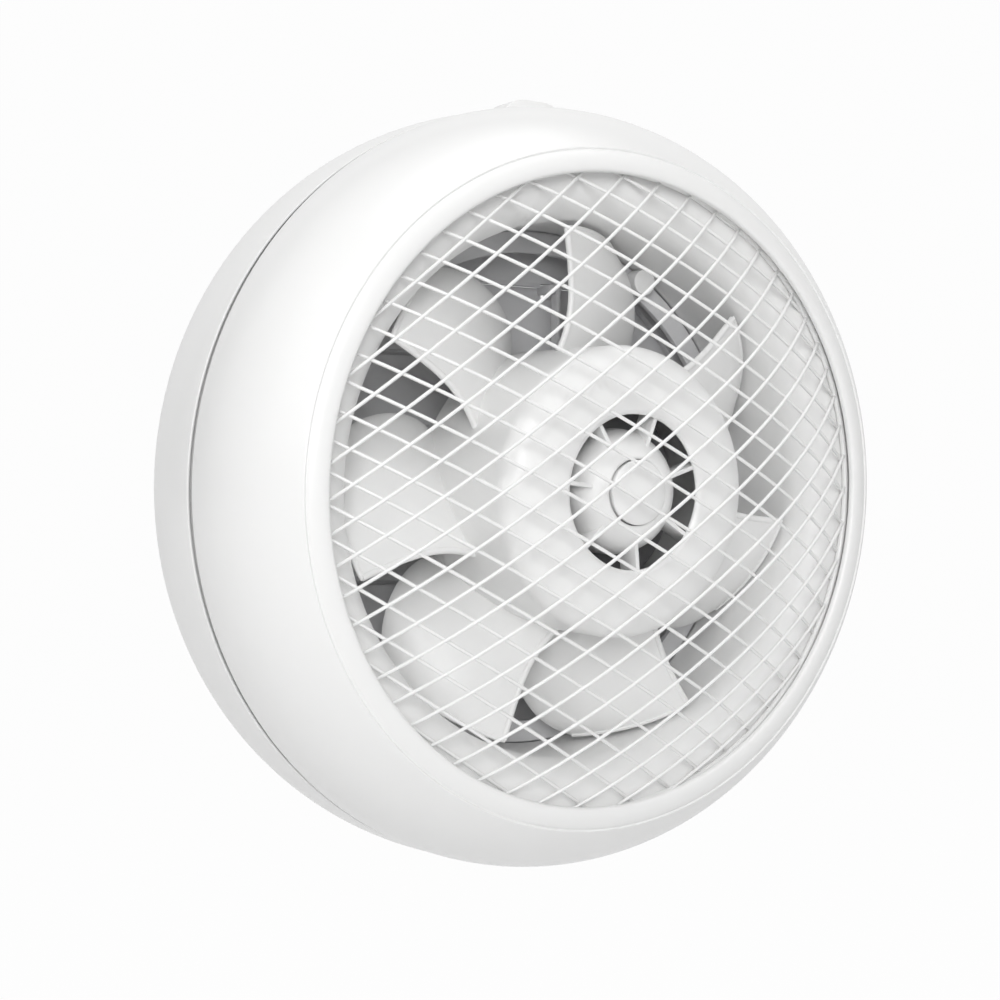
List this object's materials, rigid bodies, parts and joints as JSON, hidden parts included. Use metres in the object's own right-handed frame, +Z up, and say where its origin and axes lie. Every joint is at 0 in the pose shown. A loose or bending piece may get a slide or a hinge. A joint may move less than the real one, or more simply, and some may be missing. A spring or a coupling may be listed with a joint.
{
  "type": "window exhaust fan",
  "caption": "Round exhaust fan clamped through a hole in a window pane, with domed wire guard, bell mouth, axial impeller and gravity back-draught shutter.",
  "frame": {"origin": "on the fan's axis, in the middle of the thickness of the window pane", "axes": "+Y along the fan's axis from the room to the outdoors, +Z up, +X to the right as the room sees it"},
  "size_m": [0.3172, 0.1494, 0.3228],
  "materials": {
    "white_shell": "smooth white moulded plastic",
    "white_wire": "white coated wire",
    "white_frame": "satin white moulded plastic",
    "white_blade": "smooth white moulded plastic",
    "grey_flap": "satin light grey plastic",
    "gasket": "soft grey foam rubber",
    "dark_motor": "dark painted steel",
    "laminations": "stacked steel laminations",
    "copper": "enamelled copper wire",
    "steel": "zinc-plated steel",
    "black_plastic": "black plastic"
  },
  "bodies": {
    "housing": {"front_cover": "white_shell", "guard_grille": "white_wire", "inner_frame": "white_frame", "inner_flange": "white_frame", "inner_gasket": "gasket", "outer_gasket": "gasket", "outer_frame": "white_frame", "clamp_screw_1": "steel", "clamp_screw_2": "steel", "clamp_screw_3": "steel", "clamp_screw_4": "steel", "clamp_nut_1": "steel", "clamp_nut_2": "steel", "clamp_nut_3": "steel", "clamp_nut_4": "steel", "motor_front_shell": "dark_motor", "motor_rear_shell": "dark_motor", "stator_core": "laminations", "front_winding": "copper", "rear_winding": "copper", "front_bearing": "steel", "rear_bearing": "steel", "motor_spider": "grey_flap", "spider_screw_1": "steel", "spider_screw_2": "steel", "spider_screw_3": "steel", "motor_screw_1": "steel", "motor_screw_2": "steel", "motor_screw_3": "steel", "shutter_frame": "grey_flap", "shutter_screw_1": "steel", "shutter_screw_2": "steel", "shutter_screw_3": "steel", "shutter_screw_4": "steel", "rear_cover": "white_shell", "weather_grille": "white_shell", "cover_screw_1": "steel", "cover_screw_2": "steel", "cover_screw_3": "steel", "cover_screw_4": "steel", "terminal_box": "white_frame", "terminal_lid": "white_frame", "terminal_block": "black_plastic", "cable_gland": "black_plastic"},
    "rotor": {"impeller": "white_blade", "impeller_cap": "white_blade", "shaft_washer": "steel", "shaft_nut": "steel", "motor_shaft": "steel", "rotor_core": "laminations"},
    "flap_1": {"shutter_flap_1": "grey_flap"},
    "flap_2": {"shutter_flap_2": "grey_flap"},
    "flap_3": {"shutter_flap_3": "grey_flap"},
    "flap_4": {"shutter_flap_4": "grey_flap"},
    "flap_5": {"shutter_flap_5": "grey_flap"},
    "flap_6": {"shutter_flap_6": "grey_flap"},
    "link": {"shutter_link": "grey_flap"}
  },
  "joints": [
    {"name": "fan_spin", "type": "hinge", "parent": "housing", "child": "rotor", "pos_m": [0, -0.02, 0], "axis": [0, 1, 0], "continuous": true},
    {"name": "flap_1_swing", "type": "hinge", "parent": "housing", "child": "flap_1", "pos_m": [0, 0.0295, 0.086], "axis": [1, 0, 0], "range_deg": [0, 60]},
    {"name": "flap_2_swing", "type": "hinge", "parent": "housing", "child": "flap_2", "pos_m": [0, 0.0295, 0.054], "axis": [1, 0, 0], "range_deg": [0, 60]},
    {"name": "flap_3_swing", "type": "hinge", "parent": "housing", "child": "flap_3", "pos_m": [0, 0.0295, 0.022], "axis": [1, 0, 0], "range_deg": [0, 60]},
    {"name": "flap_4_swing", "type": "hinge", "parent": "housing", "child": "flap_4", "pos_m": [0, 0.0295, -0.01], "axis": [1, 0, 0], "range_deg": [0, 60]},
    {"name": "flap_5_swing", "type": "hinge", "parent": "housing", "child": "flap_5", "pos_m": [0, 0.0295, -0.042], "axis": [1, 0, 0], "range_deg": [0, 60]},
    {"name": "flap_6_swing", "type": "hinge", "parent": "housing", "child": "flap_6", "pos_m": [0, 0.0295, -0.074], "axis": [1, 0, 0], "range_deg": [0, 60]},
    {"name": "link_pivot", "type": "hinge", "parent": "flap_1", "child": "link", "pos_m": [0.0185, 0.0205, 0.086], "axis": [1, 0, 0], "range_deg": [-60, 0]}
  ],
  "couplings": [
    {"joint": "flap_2_swing", "follows": "flap_1_swing", "ratio": 1},
    {"joint": "flap_3_swing", "follows": "flap_1_swing", "ratio": 1},
    {"joint": "flap_4_swing", "follows": "flap_1_swing", "ratio": 1},
    {"joint": "flap_5_swing", "follows": "flap_1_swing", "ratio": 1},
    {"joint": "flap_6_swing", "follows": "flap_1_swing", "ratio": 1},
    {"joint": "link_pivot", "follows": "flap_1_swing", "ratio": -1}
  ]
}
